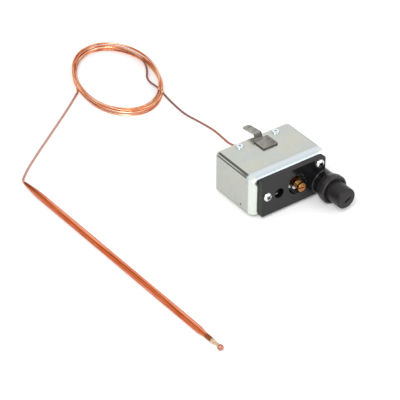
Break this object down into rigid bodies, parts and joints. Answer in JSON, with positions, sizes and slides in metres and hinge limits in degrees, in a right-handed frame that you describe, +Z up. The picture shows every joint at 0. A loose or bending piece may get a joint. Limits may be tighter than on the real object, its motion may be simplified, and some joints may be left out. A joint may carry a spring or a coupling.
{
  "type": "high limit thermostat",
  "caption": "Manual-reset high limit thermostat: steel case with black front plate, reset button, brass adjusting screw and a copper sensing bulb on a coiled capillary.",
  "frame": {"origin": "middle of the case's flat bottom", "axes": "+Z up through the case, -Y out of the front plate, +X to the right along the front"},
  "size_m": [0.1748, 0.351, 0.0375],
  "materials": {
    "zinc_steel": "satin",
    "black_moulding": "gloss",
    "black_button": "matte",
    "bright_steel": "gloss",
    "dark_steel": "satin",
    "spring_steel": "satin",
    "brass": "satin",
    "copper": "satin",
    "pale_brass": "satin",
    "phenolic": "satin",
    "contact_silver": "satin"
  },
  "bodies": {
    "case": {"case_shell": "zinc_steel", "base_plate": "zinc_steel", "front_plate": "black_moulding", "front_screw_left": "bright_steel", "front_screw_right": "bright_steel", "rivets": "zinc_steel", "earth_tab": "dark_steel", "adjusting_spring": "spring_steel", "adjusting_bush": "brass", "spring_seat": "brass", "range_spring": "spring_steel", "reset_collar": "black_button", "reset_spring": "spring_steel", "switch_frame": "zinc_steel", "pivot_pin": "bright_steel", "capsule": "bright_steel", "stud_nut": "zinc_steel", "capillary_ferrule": "brass", "switch_carrier": "phenolic", "pivot_post": "brass", "fixed_contact": "contact_silver", "contact_spring": "spring_steel", "terminal_1": "pale_brass", "terminal_2": "pale_brass", "bulb": "copper", "braze_ring": "pale_brass", "filling_stub": "pale_brass", "sealing_ball": "copper", "capillary_lead": "copper", "capillary_coil": "copper", "bulb_lead": "copper"},
    "reset_button": {"reset_cap": "black_button", "reset_stem": "bright_steel", "stem_clip": "spring_steel"},
    "adjuster": {"adjusting_screw": "brass"},
    "stop": {"stop_screw": "dark_steel"},
    "lever": {"sensing_lever": "zinc_steel"},
    "pad": {"push_pad": "brass"},
    "pin": {"transfer_pin": "phenolic"},
    "contact": {"contact_arm": "brass", "moving_contact": "contact_silver"}
  },
  "joints": [
    {"name": "reset_press", "type": "slide", "parent": "case", "child": "reset_button", "axis": [0, 1, 0], "range_m": [0, 0.0025], "stiffness_N_per_m": 800, "deforming": ["reset_spring"]},
    {"name": "adjusting_turn", "type": "hinge", "parent": "case", "child": "adjuster", "pos_m": [0.004, -0.0323, 0.0149], "axis": [0, 1, 0], "range_deg": [0, 300]},
    {"name": "stop_screw_turn", "type": "hinge", "parent": "case", "child": "stop", "pos_m": [-0.0118, -0.0231, 0.0139], "axis": [0, 1, 0], "range_deg": [0, 270]},
    {"name": "lever_swing", "type": "hinge", "parent": "case", "child": "lever", "pos_m": [0, 0.0102, 0.0245], "axis": [-1, 0, 0], "range_deg": [0, 2.5], "stiffness_Nm_per_rad": 0.05, "deforming": ["range_spring"]},
    {"name": "pad_slide", "type": "slide", "parent": "case", "child": "pad", "axis": [0, -1, 0], "range_m": [0, 0.00046]},
    {"name": "pin_slide", "type": "slide", "parent": "case", "child": "pin", "axis": [0, -1, 0], "range_m": [0, 0.00075]},
    {"name": "contact_swing", "type": "hinge", "parent": "case", "child": "contact", "pos_m": [0.0145, 0.001, 0.008], "axis": [0, 0, -1], "range_deg": [0, 7.8], "deforming": ["contact_spring"]}
  ],
  "couplings": [
    {"joint": "pad_slide", "follows": "lever_swing", "m_per_rad": 0.0101},
    {"joint": "pin_slide", "follows": "lever_swing", "m_per_rad": 0.0165},
    {"joint": "contact_swing", "follows": "lever_swing", "ratio": 3.05}
  ]
}
